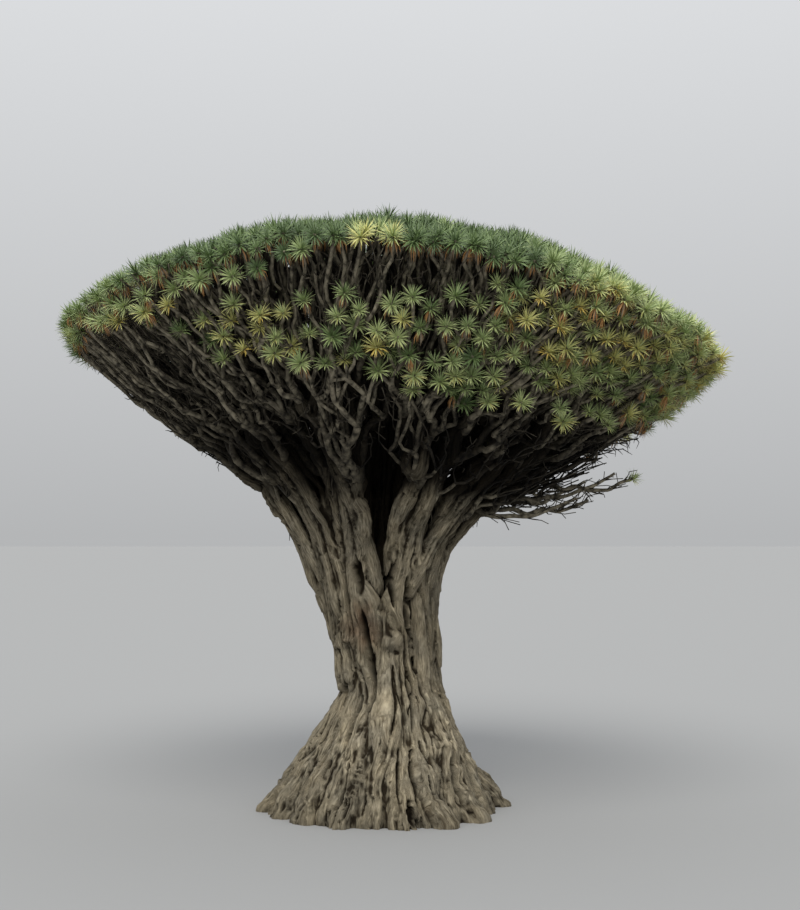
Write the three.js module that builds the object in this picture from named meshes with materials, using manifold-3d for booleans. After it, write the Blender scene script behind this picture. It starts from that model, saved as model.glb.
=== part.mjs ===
// A very old dragon blood tree: a fluted trunk with a wide root flare, boughs that rise and spread
// from its fork, and an umbrella crown in two tiers of leafy masses over a bowl-shaped underside.
// Millimetres, +Z up. The origin is the middle of the flat cut at ground level, and the front faces -Y.
import * as THREE from "three";
import Module from "manifold-3d";
import { mergeVertices } from "three/addons/utils/BufferGeometryUtils.js";

const wasm = await Module();
wasm.setup();

// Driving dimensions of the trunk
const FOOT_RADIUS = 3150;
const WAIST_RADIUS = 1340;
const FORK_RADIUS = 1620;
const FLARE_HEIGHT = 3200;
const FORK_HEIGHT = 6400;
const CROTCH_RISE = 250;
const LEAN = [
  { height: 0, right: -50 },
  { height: 1000, right: -170 },
  { height: 3200, right: 80 },
  { height: 4000, right: 60 },
  { height: FORK_HEIGHT, right: -220 },
];
const ROOT_LOBES = { count: 13, depth: 0.055, turn: 0.6 };
const STEM_LOBES = { count: 9, depth: 0.05, turn: 1.2 };
const BROAD_LOBES = { count: 3, depth: 0.028, turn: 1.9 };
const GROUND_CUT = 300;

// Driving dimensions of the crown
const CROWN_TOP = 16650;
const RIM_REACH = { mean: 9050, right: 175, sides: 450, back: 300 };
const RIM_HEIGHT = { mean: 13700, right: -450, sides: -650, back: -550 };
const BOWL_FOOT = { mean: 8825, right: -500, sides: -275, back: -300 };
const BOWL_INNER_REACH = 3300;
const BOWL_OUTER_SHARE = 0.9;
const BOWL_POWER = 1.25;
const DOME_POWER = 2.05;
const CANOPY_DEPTH = 2200;
const CANOPY_THINNING = 1300;
const TOP_REACH = 2400;
const RING_SHARE = 0.6;
const RIM_WAVES = { count: 5, depth: 0.015, turn: 0.8 };
const WALL_WAVE = { degrees: 3.5, length: 900, turn: 2.4 };

// Lumps of the crown's surfaces: the size of each wave, and its radians to the metre along X and Y
const LUMPS = [
  { size: 80, x: 1.9, y: 0.7, turn: 0 },
  { size: 65, x: -1.1, y: 2.3, turn: 0.4 },
  { size: 50, x: 3.1, y: 0.3, turn: 2.6 },
];
const LUMP_ALLOWANCE = 130;

// Gaps, and how finely the shapes are divided
const GAP = 0.4;
const WELD = 1e-3;
const TIER_OVERLAP = 120;
const TRUNK_SIDES = 39;
const TRUNK_STEPS = 10;
const BOUGH_SIDES = 8;
const BOUGH_STEPS = 6;
const CANOPY_GRID = { side: 4, up: 2, out: 3 };
const SKIRT_GRID = { side: 3, up: 3, out: 4 };
const ROUND_SIDES = 12;
const ROUND_RINGS = 6;
const BOXINESS = 6;

// Boughs. Bearings run from +X towards +Y, so that 270 is the front. Each bough leaves the fork at a foot,
// rises towards its bend and ends inside the mass that it carries.
const FOOT_SHIFT = -200;
const OUTER_FOOT_OFFSET = 1200;
const INNER_FOOT_OFFSET = 520;
const BOUGH_FOOT_HEIGHT = 6150;
const OUTER_BEND_HEIGHT = 8400;
const INNER_BEND = { reach: 830, height: 9800 };
const OUTER_BOUGHS = [
  { name: "right", bearing: 0, bend: 1350, reach: 4600, height: 10200, foot: 540, tip: 300 },
  { name: "right_back", bearing: 36, bend: 1700, reach: 4300, height: 10600, foot: 520, tip: 300 },
  { name: "back_right", bearing: 72, bend: 1800, reach: 4200, height: 10900, foot: 500, tip: 290 },
  { name: "back_left", bearing: 108, bend: 1800, reach: 4200, height: 10900, foot: 540, tip: 300 },
  { name: "left_back", bearing: 144, bend: 1800, reach: 4300, height: 10900, foot: 520, tip: 300 },
  { name: "left", bearing: 180, bend: 1950, reach: 4400, height: 11000, foot: 640, tip: 440 },
  { name: "left_front", bearing: 216, bend: 1700, reach: 4200, height: 10900, foot: 520, tip: 300 },
  { name: "front_left", bearing: 252, bend: 1500, reach: 4100, height: 11000, foot: 480, tip: 270 },
  { name: "front_right", bearing: 288, bend: 1500, reach: 4100, height: 10900, foot: 480, tip: 280 },
  { name: "right_front", bearing: 324, bend: 1500, reach: 4300, height: 10500, foot: 500, tip: 290 },
];
const INNER_BOUGHS = [
  { name: "inner_right", bearing: 15, reach: 3000, height: 14600, foot: 380, tip: 200 },
  { name: "inner_back", bearing: 100, reach: 3100, height: 14500, foot: 380, tip: 200 },
  { name: "inner_left", bearing: 190, reach: 3100, height: 14600, foot: 420, tip: 210 },
  { name: "inner_front", bearing: 280, reach: 3000, height: 14600, foot: 380, tip: 200 },
];
const BOUGH_FLUTES = { count: 3, depth: 0.07, turn: 0 };
const LOW_LIMB = {
  start: [4000, 300, 9500],
  bend: [5400, 250, 8500],
  end: [7150, 0, 9480],
  foot: 130,
  tip: 60,
};
const TUFT = { radius: 360, slant: 0.2 };
const INNER_MASSES = 6;
const OUTER_MASSES = 11;

const bark = new THREE.MeshStandardMaterial({ color: 0x7a7262, roughness: 0.95, metalness: 0 });
const leaves = new THREE.MeshStandardMaterial({ color: 0x66793f, roughness: 0.7, metalness: 0 });

const { cos, sin, hypot, atan2, PI } = Math;
const mix = THREE.MathUtils.lerp;
const radians = THREE.MathUtils.degToRad;

// A size that changes with the bearing: its mean, and what it gains to the right, at both sides and at the back.
const around = (size, angle) =>
  size.mean + size.right * cos(angle) + size.sides * cos(2 * angle) + size.back * sin(angle);

const polar = (reach, angle, height) => new THREE.Vector3(reach * cos(angle), reach * sin(angle), height);

// Lobes round an axis, as a share of the radius.
const lobed = ({ count, depth, turn }, angle) => depth * cos(count * angle + turn);

// The height of the lumps at a place, which neighbouring masses share.
function lumps(reach, angle) {
  const x = (reach * cos(angle)) / 1000;
  const y = (reach * sin(angle)) / 1000;
  return LUMPS.reduce((sum, wave) => sum + wave.size * sin(wave.x * x + wave.y * y + wave.turn), 0);
}

const rimShare = (reach, angle) => Math.min(reach / around(RIM_REACH, angle), 1);

const domeHeight = (reach, angle) => {
  const rim = around(RIM_HEIGHT, angle);
  const fall = rimShare(reach, angle) ** DOME_POWER;
  return rim + (CROWN_TOP - LUMP_ALLOWANCE - rim) * (1 - fall) + lumps(reach, angle);
};

const tierHeight = (reach, angle) =>
  domeHeight(reach, angle) - CANOPY_DEPTH + CANOPY_THINNING * rimShare(reach, angle) ** 2;

const bowlHeight = (reach, angle) => {
  const foot = around(BOWL_FOOT, angle);
  const rim = around(RIM_REACH, angle);
  const share = (reach - BOWL_INNER_REACH) / (rim - BOWL_INNER_REACH);
  const rise = around(RIM_HEIGHT, angle) - foot;
  return foot + rise * Math.max(share, 0) ** BOWL_POWER + lumps(reach, angle + 1);
};

// A geometry with its vertices moved by a function, welded into one closed surface.
function shaped(geometry, move) {
  const place = geometry.getAttribute("position");
  const v = new THREE.Vector3();
  for (let i = 0; i < place.count; i++) {
    v.fromBufferAttribute(place, i);
    const moved = move(v.x, v.y, v.z);
    place.setXYZ(i, moved.x, moved.y, moved.z);
  }
  geometry.deleteAttribute("normal");
  geometry.deleteAttribute("uv");
  return mergeVertices(geometry, WELD);
}

// The same closed surface, moved out along its normals.
function grown(geometry, by) {
  const larger = geometry.clone();
  larger.computeVertexNormals();
  const place = larger.getAttribute("position");
  const normal = larger.getAttribute("normal");
  for (let i = 0; i < place.count; i++)
    place.setXYZ(
      i,
      place.getX(i) + by * normal.getX(i),
      place.getY(i) + by * normal.getY(i),
      place.getZ(i) + by * normal.getZ(i),
    );
  larger.deleteAttribute("normal");
  return larger;
}

const solidOf = (geometry) =>
  new wasm.Manifold(
    new wasm.Mesh({
      numProp: 3,
      vertProperties: new Float32Array(geometry.getAttribute("position").array),
      triVerts: new Uint32Array(geometry.getIndex().array),
    }),
  );

const largest = (solid) => solid.decompose().sort((a, b) => b.volume() - a.volume())[0];

// The solid of a geometry, cut clear of each neighbour that it reaches.
function cutSolid(geometry, neighbours) {
  let solid = solidOf(geometry);
  for (const neighbour of neighbours) {
    const space = solidOf(grown(neighbour, GAP));
    if (solid.intersect(space).volume() > 0) solid = solid.subtract(space);
  }
  return largest(solid);
}

function meshOf(name, solid, material) {
  const made = solid.getMesh();
  const geometry = new THREE.BufferGeometry();
  geometry.setAttribute("position", new THREE.BufferAttribute(made.vertProperties, 3));
  geometry.setIndex(new THREE.BufferAttribute(made.triVerts, 1));
  geometry.computeVertexNormals();
  const mesh = new THREE.Mesh(geometry, material);
  mesh.name = name;
  return mesh;
}

// The trunk's half-width at a height: it flares to the ground below the waist and widens to the fork above it.
function trunkRadius(height) {
  const flare = THREE.MathUtils.smoothstep(FLARE_HEIGHT - height, 0, FLARE_HEIGHT);
  const spread = THREE.MathUtils.smoothstep(height, FLARE_HEIGHT, FORK_HEIGHT);
  return WAIST_RADIUS + (FOOT_RADIUS - WAIST_RADIUS) * flare + (FORK_RADIUS - WAIST_RADIUS) * spread;
}

// How far the trunk's middle lies to the right of the origin at a height.
function trunkLean(height) {
  const above = Math.max(LEAN.findIndex((stage) => stage.height >= height), 1);
  const [from, to] = [LEAN[above - 1], LEAN[above]];
  return mix(from.right, to.right, (height - from.height) / (to.height - from.height));
}

function trunkGeometry() {
  const column = new THREE.CylinderGeometry(1, 1, 1, TRUNK_SIDES, TRUNK_STEPS);
  return shaped(column, (x, y, z) => {
    const angle = atan2(z, x);
    const share = hypot(x, z);
    const height = mix(-GROUND_CUT, FORK_HEIGHT, y + 0.5);
    const stem = THREE.MathUtils.smoothstep(height, 0, FLARE_HEIGHT);
    const lobes = mix(lobed(ROOT_LOBES, angle), lobed(STEM_LOBES, angle), stem) + lobed(BROAD_LOBES, angle);
    const reach = share * trunkRadius(height) * (1 + lobes);
    const crotch = height === FORK_HEIGHT ? CROTCH_RISE * (1 - share) : 0;
    return new THREE.Vector3(trunkLean(height) + reach * cos(angle), -reach * sin(angle), height + crotch);
  });
}

// One tapering limb along a bend of three points, slightly fluted.
function limbGeometry(points, footRadius, tipRadius) {
  const curve = new THREE.QuadraticBezierCurve3(...points);
  const frames = curve.computeFrenetFrames(BOUGH_STEPS, false);
  const column = new THREE.CylinderGeometry(1, 1, 1, BOUGH_SIDES, BOUGH_STEPS);
  return shaped(column, (x, y, z) => {
    const share = y + 0.5;
    const step = Math.round(share * BOUGH_STEPS);
    const radius = mix(footRadius, tipRadius, share) * (1 + lobed(BOUGH_FLUTES, atan2(z, x)));
    return curve
      .getPoint(step / BOUGH_STEPS)
      .addScaledVector(frames.normals[step], x * radius)
      .addScaledVector(frames.binormals[step], -z * radius);
  });
}

function boughPoints(bearing, footOffset, bend, end) {
  const angle = radians(bearing);
  const foot = polar(footOffset, angle, BOUGH_FOOT_HEIGHT);
  foot.x += FOOT_SHIFT;
  return [foot, polar(bend.reach, angle, bend.height), polar(end.reach, angle, end.height)];
}

function outerBoughPoints(bough) {
  const bend = { reach: bough.bend, height: OUTER_BEND_HEIGHT };
  return boughPoints(bough.bearing, OUTER_FOOT_OFFSET, bend, bough);
}

const innerBoughPoints = (bough) => boughPoints(bough.bearing, INNER_FOOT_OFFSET, INNER_BEND, bough);

// The point of a round-edged box, from -1 to 1 along each axis, that lies in a direction.
function boxed(x, y, z) {
  const size = (Math.abs(x) ** BOXINESS + Math.abs(y) ** BOXINESS + Math.abs(z) ** BOXINESS) ** (1 / BOXINESS);
  return [x / size, y / size, z / size];
}

// The bearing of the wall between two masses of a ring of so many, which waves along its reach.
const wallBearing = (index, count, reach) =>
  ((index - 0.5) / count) * 2 * PI +
  radians(WALL_WAVE.degrees) * sin(reach / WALL_WAVE.length + WALL_WAVE.turn * (index % count));

// One leafy mass of a ring: an uneven cushion between two walls, two reaches and two heights.
function ringMass(index, count, grid, reachFrom, reachTo, lowest, highest) {
  const box = new THREE.BoxGeometry(2, 2, 2, grid.side, grid.up, grid.out);
  return shaped(box, (x, y, z) => {
    const [side, up, out] = boxed(x, y, z);
    const middle = (index / count) * 2 * PI;
    const reach = mix(reachFrom(middle) + GAP, reachTo(middle) - GAP, (out + 1) / 2);
    const gapAngle = GAP / reach;
    const first = wallBearing(index, count, reach) + gapAngle;
    const last = wallBearing(index + 1, count, reach) - gapAngle;
    const angle = mix(first, last, (side + 1) / 2);
    return polar(reach, angle, mix(lowest(reach, angle), highest(reach, angle), (up + 1) / 2));
  });
}

// The mass on top of the crown, round in plan.
function topMass() {
  const sphere = new THREE.SphereGeometry(1, ROUND_SIDES, ROUND_RINGS);
  return shaped(sphere, (x, y, z) => {
    const [out, up] = boxed(hypot(x, z), y, 0);
    const angle = atan2(-z, x);
    const reach = out * (TOP_REACH - GAP);
    return polar(reach, angle, mix(tierHeight(reach, angle), domeHeight(reach, angle), (up + 1) / 2));
  });
}

function tuftMass() {
  const sphere = new THREE.SphereGeometry(1, ROUND_SIDES, ROUND_RINGS);
  const middle = new THREE.Vector3(...LOW_LIMB.end);
  return shaped(sphere, (x, y, z) =>
    new THREE.Vector3(x, -z, y * (1 + TUFT.slant * x)).multiplyScalar(TUFT.radius).add(middle),
  );
}

function foliage() {
  const innerEnd = (angle) => RING_SHARE * around(RIM_REACH, angle);
  const rim = (angle) => around(RIM_REACH, angle) * (1 + lobed(RIM_WAVES, angle));
  const bowlEnd = (angle) => BOWL_OUTER_SHARE * around(RIM_REACH, angle);
  const masses = [{ name: "canopy_top", geometry: topMass() }];
  for (let i = 0; i < INNER_MASSES; i++)
    masses.push({
      name: `canopy_inner_${i + 1}`,
      geometry: ringMass(i, INNER_MASSES, CANOPY_GRID, () => TOP_REACH, innerEnd, tierHeight, domeHeight),
    });
  for (let i = 0; i < OUTER_MASSES; i++)
    masses.push({
      name: `canopy_outer_${i + 1}`,
      geometry: ringMass(i, OUTER_MASSES, CANOPY_GRID, innerEnd, rim, tierHeight, domeHeight),
    });
  const skirtTop = (reach, angle) => tierHeight(reach, angle) + TIER_OVERLAP;
  const bowlStart = () => BOWL_INNER_REACH;
  OUTER_BOUGHS.forEach(({ name }, i) =>
    masses.push({
      name: `skirt_${name}`,
      geometry: ringMass(i, OUTER_BOUGHS.length, SKIRT_GRID, bowlStart, bowlEnd, bowlHeight, skirtTop),
    }),
  );
  masses.push({ name: "tuft_low_right", geometry: tuftMass() });
  return masses;
}

function limbs() {
  const boughs = OUTER_BOUGHS.map((b) => ({
    name: `bough_${b.name}`,
    geometry: limbGeometry(outerBoughPoints(b), b.foot, b.tip),
  }));
  for (const b of INNER_BOUGHS)
    boughs.push({ name: `bough_${b.name}`, geometry: limbGeometry(innerBoughPoints(b), b.foot, b.tip) });
  const bend = [LOW_LIMB.start, LOW_LIMB.bend, LOW_LIMB.end].map((p) => new THREE.Vector3(...p));
  boughs.push({ name: "limb_low_right", geometry: limbGeometry(bend, LOW_LIMB.foot, LOW_LIMB.tip) });
  return boughs;
}

// The solid earth that cuts the trunk's foot flat.
function groundSolid() {
  const width = 4 * FOOT_RADIUS;
  const block = new THREE.BoxGeometry(width, width, 2 * GROUND_CUT);
  return solidOf(shaped(block, (x, y, z) => new THREE.Vector3(x, y, z - GROUND_CUT)));
}

const tree = new THREE.Group();

const trunkShape = trunkGeometry();
tree.add(meshOf("trunk", solidOf(trunkShape).subtract(groundSolid()), bark));

const massShapes = foliage();
massShapes.forEach(({ name, geometry }, i) => {
  const earlier = massShapes.slice(0, i).map((m) => m.geometry);
  tree.add(meshOf(name, cutSolid(geometry, earlier), leaves));
});

const limbShapes = limbs();
limbShapes.forEach(({ name, geometry }, i) => {
  const earlier = limbShapes.slice(0, i).map((m) => m.geometry);
  const neighbours = [trunkShape, ...massShapes.map((m) => m.geometry), ...earlier];
  tree.add(meshOf(name, cutSolid(geometry, neighbours), bark));
});

export default tree;
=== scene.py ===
"""A very old dragon blood tree: fused stems, a crown of forking branches and rosettes of sword leaves.

Metres, +Z up, the front faces -Y. Bearings are in degrees from +X towards +Y, so 270 is the front.
"""
import math

import bmesh
import bpy
import numpy as np
from mathutils.kdtree import KDTree
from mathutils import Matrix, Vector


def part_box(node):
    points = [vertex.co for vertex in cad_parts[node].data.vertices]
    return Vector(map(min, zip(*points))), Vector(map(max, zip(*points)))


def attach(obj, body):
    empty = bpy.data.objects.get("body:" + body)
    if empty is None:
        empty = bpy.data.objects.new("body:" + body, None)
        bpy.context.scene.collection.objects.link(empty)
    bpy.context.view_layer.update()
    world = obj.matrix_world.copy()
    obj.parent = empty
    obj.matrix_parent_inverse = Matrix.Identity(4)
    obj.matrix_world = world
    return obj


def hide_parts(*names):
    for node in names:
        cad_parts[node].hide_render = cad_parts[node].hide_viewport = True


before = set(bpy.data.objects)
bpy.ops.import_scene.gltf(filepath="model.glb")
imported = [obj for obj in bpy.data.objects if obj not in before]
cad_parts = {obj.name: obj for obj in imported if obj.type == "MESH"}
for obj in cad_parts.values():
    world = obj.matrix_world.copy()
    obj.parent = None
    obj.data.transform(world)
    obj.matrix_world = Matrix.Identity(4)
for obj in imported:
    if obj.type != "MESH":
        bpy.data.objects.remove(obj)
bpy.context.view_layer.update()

SEED = 1396
rng = np.random.default_rng(SEED)

# The trunk's outline
FOOT_RADIUS = 3.05
WAIST_RADIUS = 1.34
FORK_RADIUS = 1.62
FLARE_HEIGHT = 3.5
FLARE_POWER = 1.25
FORK_HEIGHT = 6.4
LEAN_HEIGHTS = (0.0, 1.0, 2.3, 3.2, 4.0, 6.4)
LEAN_RIGHT = (-0.08, -0.04, 0.14, 0.2, 0.08, -0.22)

# The crown's outline: each size has a mean, and gains to the right, at both sides and at the back
CROWN_TOP = 16.52
RIM_REACH = dict(mean=9.05, right=0.175, sides=0.45, back=0.3)
RIM_HEIGHT = dict(mean=13.7, right=-0.45, sides=-0.65, back=-0.55)
BOWL_FOOT = dict(mean=8.825, right=-0.5, sides=-0.275, back=-0.3)
BOWL_INNER_REACH = 3.3
BOWL_POWER = 1.25
DOME_POWER = 2.05

# Boughs: name, bearing, reach of the bend, reach and height of the end, radius at the foot and at the end
FOOT_SHIFT = -0.2
FOOT_HEIGHT = 6.15
OUTER_FOOT_OFFSET = 1.2
INNER_FOOT_OFFSET = 0.52
OUTER_BEND_HEIGHT = 8.4
INNER_BEND_REACH = 0.83
INNER_BEND_HEIGHT = 9.8
OUTER_BOUGHS = (
    ("right", 0, 1.35, 4.6, 10.2, 0.54, 0.30),
    ("right_back", 36, 1.7, 4.3, 10.6, 0.52, 0.30),
    ("back_right", 72, 1.8, 4.2, 10.9, 0.50, 0.29),
    ("back_left", 108, 1.8, 4.2, 10.9, 0.54, 0.30),
    ("left_back", 144, 1.8, 4.3, 10.9, 0.52, 0.30),
    ("left", 180, 1.95, 4.4, 11.0, 0.64, 0.44),
    ("left_front", 216, 1.7, 4.2, 10.9, 0.52, 0.30),
    ("front_left", 244, 1.5, 4.1, 11.0, 0.46, 0.27),
    ("front_right", 297, 1.5, 4.1, 10.9, 0.46, 0.28),
    ("right_front", 324, 1.5, 4.3, 10.5, 0.50, 0.29),
)
INNER_BOUGHS = (
    ("inner_right", 15, INNER_BEND_REACH, 3.0, 14.6, 0.38, 0.20),
    ("inner_back", 100, INNER_BEND_REACH, 3.1, 14.5, 0.38, 0.20),
    ("inner_left", 190, INNER_BEND_REACH, 3.1, 14.6, 0.42, 0.21),
    ("inner_front", 280, INNER_BEND_REACH, 3.0, 14.6, 0.38, 0.20),
)


# Shared sums
def unit(v):
    return v / np.maximum(np.linalg.norm(v, axis=-1, keepdims=True), 1e-9)


def smooth(x, low, high):
    t = np.clip((x - low) / (high - low), 0, 1)
    return t * t * (3 - 2 * t)


def polar(reach, bearing, height):
    a = np.radians(bearing)
    return np.stack(np.broadcast_arrays(reach * np.cos(a), reach * np.sin(a), height), axis=-1)


def turned(first, second, angle):
    """For each angle, the direction that far from the first towards the second."""
    return first * np.cos(angle)[:, None] + second * np.sin(angle)[:, None]


def around(size, bearing):
    a = np.radians(bearing)
    return size["mean"] + size["right"] * np.cos(a) + size["sides"] * np.cos(2 * a) + size["back"] * np.sin(a)


def gap_between(bearing, other):
    """From the other bearing to this one, from -180 to 180 degrees."""
    return (bearing - other + 180) % 360 - 180


def trunk_radius(z):
    flare = np.clip(1 - z / FLARE_HEIGHT, 0, 1) ** FLARE_POWER
    spread = (FORK_RADIUS - WAIST_RADIUS) * smooth(z, FLARE_HEIGHT, FORK_HEIGHT)
    return WAIST_RADIUS + (FOOT_RADIUS - WAIST_RADIUS) * flare + spread


def trunk_lean(z):
    return np.interp(z, LEAN_HEIGHTS, LEAN_RIGHT)


def on_trunk(reach, bearing, z):
    """Points at a reach and bearing from the trunk's leaning middle."""
    points = polar(reach, bearing, z)
    points[:, 0] += trunk_lean(z)
    return points


def from_trunk(points):
    """Each point's height, and its bearing and reach from the trunk's leaning middle."""
    z = points[:, 2]
    x = points[:, 0] - trunk_lean(z)
    return z, np.degrees(np.arctan2(points[:, 1], x)), np.hypot(x, points[:, 1])


def dome_height(reach, bearing):
    rim = around(RIM_HEIGHT, bearing)
    share = np.minimum(reach / around(RIM_REACH, bearing), 1)
    return rim + (CROWN_TOP - rim) * (1 - share**DOME_POWER)


def bowl_height(reach, bearing):
    foot = around(BOWL_FOOT, bearing)
    share = (reach - BOWL_INNER_REACH) / (around(RIM_REACH, bearing) - BOWL_INNER_REACH)
    return foot + (around(RIM_HEIGHT, bearing) - foot) * np.maximum(share, 0) ** BOWL_POWER


def outline_gap(points):
    """How far points lie inside the outline of the trunk and the bowl, on a level line to the middle."""
    z, bearing, reach = from_trunk(points)
    foot, rim = around(BOWL_FOOT, bearing), around(RIM_HEIGHT, bearing)
    share = np.clip((z - foot) / (rim - foot), 0, 1) ** (1 / BOWL_POWER)
    bowl = BOWL_INNER_REACH + share * (around(RIM_REACH, bearing) - BOWL_INNER_REACH)
    neck = np.clip((z - FORK_HEIGHT) / (foot - FORK_HEIGHT), 0, 1)
    outline = np.where(z < foot, trunk_radius(z) + neck * (BOWL_INNER_REACH - FORK_RADIUS), bowl)
    return outline - reach


def painted_shade_depth(points):
    """How far points lie in the shade inside the outline, the depth for painted shade: more over the fork,
    and less towards the rim.
    """
    z = points[:, 2]
    over_fork = 0.7 * smooth(z, 8.3, 9.2) * smooth(z, 11.3, 9.9)
    return outline_gap(points) + over_fork - 0.6 * smooth(z, 11.5, 13.0)


def lattice(cells, seed):
    """Numbers from -1 to 1 that whole-number places always get."""
    x, y, z = (cells[..., i].astype(np.int64) for i in range(3))
    h = (x * 73856093) ^ (y * 19349663) ^ (z * 83492791) ^ (seed * 2654435761)
    h = ((h ^ (h >> 13)) * 1274126177) & 0x7FFFFFFF
    h = ((h ^ (h >> 15)) * 668265263) & 0x7FFFFFFF
    return h / 0x3FFFFFFF - 1.0


def noise(points, size, seed):
    """Smooth noise from -1 to 1 with lumps of a size, or of three sizes along X, Y and Z."""
    q = np.asarray(points) / np.asarray(size)
    cell = np.floor(q)
    f = q - cell
    w = f * f * (3 - 2 * f)
    total = np.zeros(q.shape[:-1])
    for corner in np.ndindex(2, 2, 2):
        c = np.array(corner)
        share = np.prod(np.where(c == 1, w, 1 - w), axis=-1)
        total += share * lattice(cell + c, SEED + seed)
    return total


def waver(along, number, size, seed):
    """Smooth noise along a line, with a line of its own for each number."""
    along = np.asarray(along, float)
    return noise(np.stack([along, 0 * along + 7.3 * number, 0 * along], axis=-1), size, seed)


def waves(points, size, seed):
    """A smooth random shift for each point."""
    return np.stack([noise(points + 31.0 * k, size, seed) for k in range(3)], axis=1)


def jitter(count, size):
    return size * rng.standard_normal((count, 3))


def lengths_along(points):
    return np.concatenate([[0], np.cumsum(np.linalg.norm(np.diff(points, axis=0), axis=1))])


def bezier(knots, t):
    t = np.atleast_1d(t)[:, None]
    a, b, c = (np.asarray(k) for k in knots)
    return (1 - t) ** 2 * a + 2 * t * (1 - t) * b + t**2 * c


# Meshes
def resampled(points, step):
    """A polyline as evenly spaced points of a smooth curve along it."""
    p = np.asarray(points, float)
    for _ in range(3):
        q = np.empty((2 * len(p) - 2, 3))
        q[0::2] = 0.75 * p[:-1] + 0.25 * p[1:]
        q[1::2] = 0.25 * p[:-1] + 0.75 * p[1:]
        q[0], q[-1] = p[0], p[-1]
        p = q
    along = lengths_along(p)
    count = max(int(round(along[-1] / step)) + 1, 2)
    at = np.linspace(0, along[-1], count)
    return np.stack([np.interp(at, along, p[:, i]) for i in range(3)], axis=1)


class Tubes:
    """Collects closed tubes as one mesh, and the middle line of each."""

    def __init__(self):
        self.points, self.quads, self.caps, self.lines, self.count = [], [], [], [], 0

    def add(self, path, radii, sides, rough=1.0):
        """A tube along the path. Rough is the share of the bark's relief that it gets."""
        path = np.asarray(path, float)
        radii = np.broadcast_to(radii, (len(path),))
        tangents = unit(np.gradient(path, axis=0))
        side = np.empty_like(path)
        guess = np.array([1.0, 0, 0]) if abs(tangents[0][0]) < 0.8 else np.array([0, 1.0, 0])
        for i, t in enumerate(tangents):
            guess = guess - (guess @ t) * t
            guess = guess / np.linalg.norm(guess)
            side[i] = guess
        other = np.cross(tangents, side)
        angles = np.arange(sides) * 2 * math.pi / sides
        ring = np.cos(angles)[None, :, None] * side[:, None] + np.sin(angles)[None, :, None] * other[:, None]
        verts = path[:, None] + radii[:, None, None] * ring
        n, k = len(path), sides
        i, j = np.meshgrid(np.arange(n - 1), np.arange(k), indexing="ij")
        a = i * k + j
        b = i * k + (j + 1) % k
        self.quads.append(np.stack([a, b, b + k, a + k], axis=-1).reshape(-1, 4) + self.count)
        self.caps.append(np.arange(k)[::-1] + self.count)
        self.caps.append(np.arange(k) + (n - 1) * k + self.count)
        self.points.append(verts.reshape(-1, 3))
        self.lines.append((path, tangents, side, other, radii, np.full(n, rough)))
        self.count += n * k

    def add_along(self, points, radii, step, sides, rough=1.0):
        """A tube on the smooth curve along the points, its radius interpolated on the way."""
        path = resampled(points, step)
        along = lengths_along(points)
        self.add(path, np.interp(np.linspace(0, along[-1], len(path)), along, radii), sides, rough)

    def mesh(self, name):
        sizes = sorted({len(c) for c in self.caps})
        caps = [np.array([c for c in self.caps if len(c) == s]) for s in sizes]
        return mesh_from(name, np.concatenate(self.points), np.concatenate(self.quads), *caps)


def mesh_from(name, points, *face_groups):
    """A mesh from points and groups of faces, each an array with a row for each face."""
    mesh = bpy.data.meshes.new(name)
    mesh.vertices.add(len(points))
    mesh.vertices.foreach_set("co", np.asarray(points, np.float32).ravel())
    totals = np.concatenate([np.full(len(g), np.shape(g)[1]) for g in face_groups])
    loops = np.concatenate([np.asarray(g).ravel() for g in face_groups])
    mesh.loops.add(len(loops))
    mesh.loops.foreach_set("vertex_index", loops.astype(np.int32))
    mesh.polygons.add(len(totals))
    starts = np.concatenate([[0], np.cumsum(totals)[:-1]])
    mesh.polygons.foreach_set("loop_start", starts.astype(np.int32))
    mesh.update(calc_edges=True)
    return mesh


def placed(name, data):
    """A new object in the scene."""
    obj = bpy.data.objects.new(name, data)
    bpy.context.scene.collection.objects.link(obj)
    return obj


def with_modifier(mesh, kind, **settings):
    """The mesh as one modifier leaves it."""
    obj = placed("making", mesh)
    modifier = obj.modifiers.new("making", kind)
    for name, value in settings.items():
        setattr(modifier, name, value)
    graph = bpy.context.evaluated_depsgraph_get()
    made = bpy.data.meshes.new_from_object(obj.evaluated_get(graph))
    bpy.data.objects.remove(obj)
    return made


def numbers(items, name, kind=np.float32, width=3):
    values = np.empty(len(items) * width, kind)
    items.foreach_get(name, values)
    return values.reshape(-1, width)


def places_of(mesh):
    return numbers(mesh.vertices, "co").astype(float)


def normals_of(mesh):
    return numbers(mesh.vertices, "normal").astype(float)


def edges_of(mesh):
    return numbers(mesh.edges, "vertices", np.int32, 2)


def set_places(mesh, points):
    mesh.vertices.foreach_set("co", points.astype(np.float32).ravel())
    mesh.update()


def relaxed(points, edges, times):
    """The points, each drawn halfway to the middle of its neighbours a number of times."""
    count = len(points)
    degree = np.maximum(np.bincount(edges.ravel(), minlength=count), 1)[:, None]
    a, b = edges.T
    for _ in range(times):
        sums = [np.bincount(a, p[b], count) + np.bincount(b, p[a], count) for p in points.T]
        points = points + 0.5 * (np.stack(sums, axis=1) / degree - points)
    return points


def piece(name, mesh, material, nodes, shade_smooth=True):
    mesh.materials.clear()
    mesh.materials.append(material)
    mesh.polygons.foreach_set("use_smooth", np.full(len(mesh.polygons), shade_smooth))
    obj = placed(name, mesh)
    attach(obj, "root")
    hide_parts(*nodes)


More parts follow.
